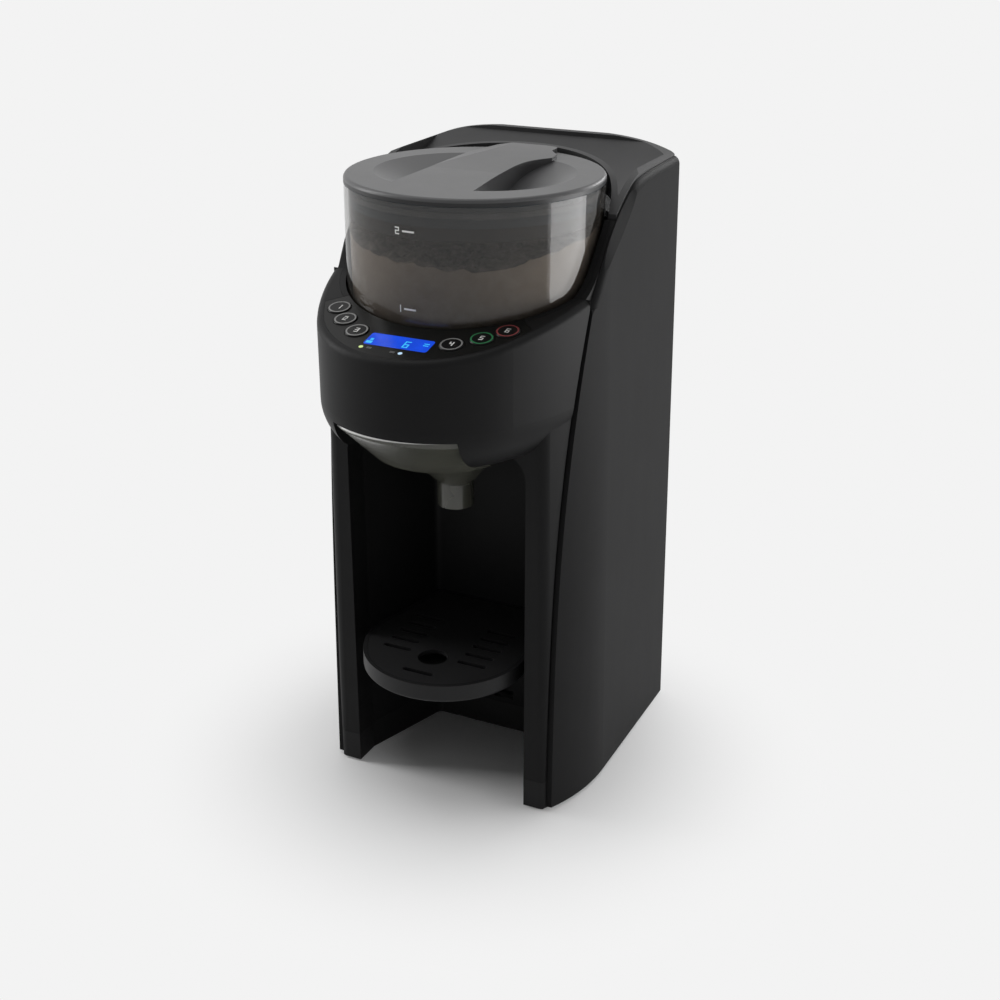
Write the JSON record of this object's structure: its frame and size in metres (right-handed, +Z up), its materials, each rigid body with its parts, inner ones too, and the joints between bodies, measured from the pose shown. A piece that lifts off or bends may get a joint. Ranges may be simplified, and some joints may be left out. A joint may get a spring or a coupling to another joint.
{
  "type": "baby formula maker",
  "caption": "Countertop baby formula maker: dosing head with a round powder container over a bottle bay, water tank at the back and a pull-out bottle tray.",
  "frame": {"origin": "on the floor, on the vertical axis of the powder container, which is the middle of the footprint", "axes": "+Z up, -Y towards the front where the bottle goes in, +X to the right of someone facing the front"},
  "size_m": [0.1568, 0.2, 0.3402],
  "materials": {
    "black_satin": "satin",
    "cover_black": "fine satin",
    "grey_lid": "satin",
    "panel_gloss": "gloss",
    "key_black": "gloss",
    "smoky_clear": "clear",
    "funnel_clear": "frosted",
    "display_glass": "gloss",
    "inner_plastic": "matte",
    "wheel_white": "satin",
    "soft_rubber": "matte",
    "seal_rubber": "matte",
    "steel": "brushed",
    "heater_alu": "cast",
    "bearing_brass": "satin",
    "board_green": "satin",
    "hose_silicone": "matte",
    "led_clear": "gloss"
  },
  "bodies": {
    "housing": {"front_housing": "black_satin", "side_cover_left": "cover_black", "side_cover_right": "cover_black", "rear_frame": "black_satin", "base_frame": "black_satin", "rubber_feet": "soft_rubber", "hopper_cradle": "black_satin", "drive_deck": "inner_plastic", "drive_bush": "bearing_brass", "gear_motor": "steel", "control_panel": "panel_gloss", "display_window": "display_glass", "lcd_module": "inner_plastic", "panel_board": "board_green", "indicator_leds": "led_clear", "funnel_rails": "inner_plastic", "funnel_switch": "inner_plastic", "water_nozzle": "steel", "heater_block": "heater_alu", "thermostat": "steel", "pump": "inner_plastic", "main_board": "board_green", "power_board": "board_green", "power_inlet": "inner_plastic", "tank_socket": "inner_plastic", "suction_hose": "hose_silicone", "pressure_hose": "hose_silicone", "outlet_hose": "hose_silicone", "level_sensor": "inner_plastic"},
    "tank": {"water_tank": "smoky_clear", "tank_valve": "inner_plastic", "tank_seal": "seal_rubber", "lid_hinge_pin": "steel"},
    "tank_lid": {"tank_lid": "black_satin"},
    "container": {"powder_container": "smoky_clear", "scraper": "wheel_white"},
    "container_lid": {"container_lid": "grey_lid", "lid_gasket": "seal_rubber"},
    "stirrer": {"stirring_wheel": "wheel_white"},
    "drive": {"drive_gear": "wheel_white"},
    "pinion": {"motor_pinion": "wheel_white"},
    "funnel": {"funnel": "funnel_clear"},
    "tray": {"bottle_tray": "black_satin", "tray_grille": "black_satin"},
    "key_right_1": {"key_right_1": "key_black"},
    "key_right_2": {"key_right_2": "key_black"},
    "key_right_3": {"key_right_3": "key_black"},
    "key_left_1": {"key_left_1": "key_black"},
    "key_left_2": {"key_left_2": "key_black"},
    "key_left_3": {"key_left_3": "key_black"}
  },
  "joints": [
    {"name": "tank_lift", "type": "slide", "parent": "housing", "child": "tank", "axis": [0, 0, 1], "range_m": [0, 0.22]},
    {"name": "tank_lid_hinge", "type": "hinge", "parent": "tank", "child": "tank_lid", "pos_m": [0, 0.0966, 0.325], "axis": [-1, 0, 0], "range_deg": [0, 80]},
    {"name": "container_lift", "type": "slide", "parent": "housing", "child": "container", "axis": [0, 0, 1], "range_m": [0, 0.09]},
    {"name": "container_lid_lift", "type": "slide", "parent": "container", "child": "container_lid", "axis": [0, 0, 1], "range_m": [0, 0.06]},
    {"name": "drive_spin", "type": "hinge", "parent": "housing", "child": "drive", "pos_m": [0, 0, 0.2395], "axis": [0, 0, 1], "continuous": true},
    {"name": "motor_spin", "type": "hinge", "parent": "housing", "child": "pinion", "pos_m": [0, 0.039, 0.2395], "axis": [0, 0, 1], "continuous": true},
    {"name": "stirrer_spin", "type": "hinge", "parent": "container", "child": "stirrer", "pos_m": [0, 0, 0.257], "axis": [0, 0, 1], "continuous": true},
    {"name": "funnel_slide", "type": "slide", "parent": "housing", "child": "funnel", "axis": [0, -1, 0], "range_m": [0, 0.09]},
    {"name": "tray_slide", "type": "slide", "parent": "housing", "child": "tray", "axis": [0, -1, 0], "range_m": [0, 0.1]},
    {"name": "key_right_1_press", "type": "slide", "parent": "housing", "child": "key_right_1", "axis": [0, 0.2164, -0.9763], "range_m": [0, 0.0008], "stiffness_N_per_m": 400, "springref_m": -0.0008},
    {"name": "key_right_2_press", "type": "slide", "parent": "housing", "child": "key_right_2", "axis": [0, 0.2164, -0.9763], "range_m": [0, 0.0008], "stiffness_N_per_m": 400, "springref_m": -0.0008},
    {"name": "key_right_3_press", "type": "slide", "parent": "housing", "child": "key_right_3", "axis": [0, 0.2164, -0.9763], "range_m": [0, 0.0008], "stiffness_N_per_m": 400, "springref_m": -0.0008},
    {"name": "key_left_1_press", "type": "slide", "parent": "housing", "child": "key_left_1", "axis": [0, 0.2164, -0.9763], "range_m": [0, 0.0008], "stiffness_N_per_m": 400, "springref_m": -0.0008},
    {"name": "key_left_2_press", "type": "slide", "parent": "housing", "child": "key_left_2", "axis": [0, 0.2164, -0.9763], "range_m": [0, 0.0008], "stiffness_N_per_m": 400, "springref_m": -0.0008},
    {"name": "key_left_3_press", "type": "slide", "parent": "housing", "child": "key_left_3", "axis": [0, 0.2164, -0.9763], "range_m": [0, 0.0008], "stiffness_N_per_m": 400, "springref_m": -0.0008}
  ],
  "couplings": [
    {"joint": "motor_spin", "follows": "drive_spin", "ratio": -3.3333},
    {"joint": "stirrer_spin", "follows": "drive_spin", "ratio": 1}
  ]
}
